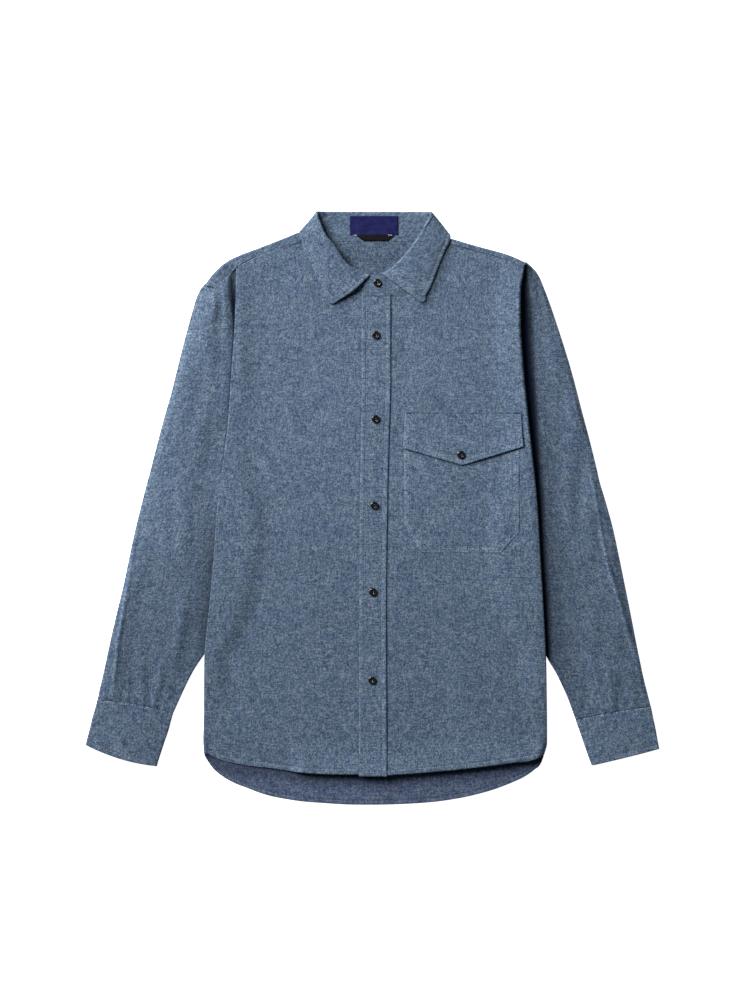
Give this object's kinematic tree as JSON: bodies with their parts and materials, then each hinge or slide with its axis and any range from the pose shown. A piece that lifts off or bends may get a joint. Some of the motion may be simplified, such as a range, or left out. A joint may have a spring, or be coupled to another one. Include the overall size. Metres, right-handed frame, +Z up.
{
  "type": "chambray shirt",
  "caption": "Long-sleeved chambray shirt with a turn-down collar, buttoned front and a flapped chest pocket, laid flat on its back.",
  "frame": {"origin": "centre of the outline, on the surface the shirt lies on", "axes": "+Z up from the surface, +Y towards the collar, +X towards the wearer's left sleeve"},
  "size_m": [0.784, 0.8129, 0.0158],
  "materials": {
    "chambray": "matte",
    "button_black": "gloss",
    "label_blue": "satin",
    "tape_black": "matte"
  },
  "bodies": {
    "root": {"back": "chambray", "yoke": "chambray", "front_right": "chambray", "front_left": "chambray", "placket": "chambray", "collar_stand": "chambray", "collar_leaf": "chambray", "sleeve_right": "chambray", "sleeve_left": "chambray", "cuff_right": "chambray", "cuff_left": "chambray", "pocket": "chambray", "pocket_flap": "chambray", "label": "label_blue", "label_tab": "tape_black", "button_1": "button_black", "button_2": "button_black", "button_3": "button_black", "button_4": "button_black", "button_5": "button_black", "button_6": "button_black", "button_pocket": "button_black"}
  },
  "joints": []
}
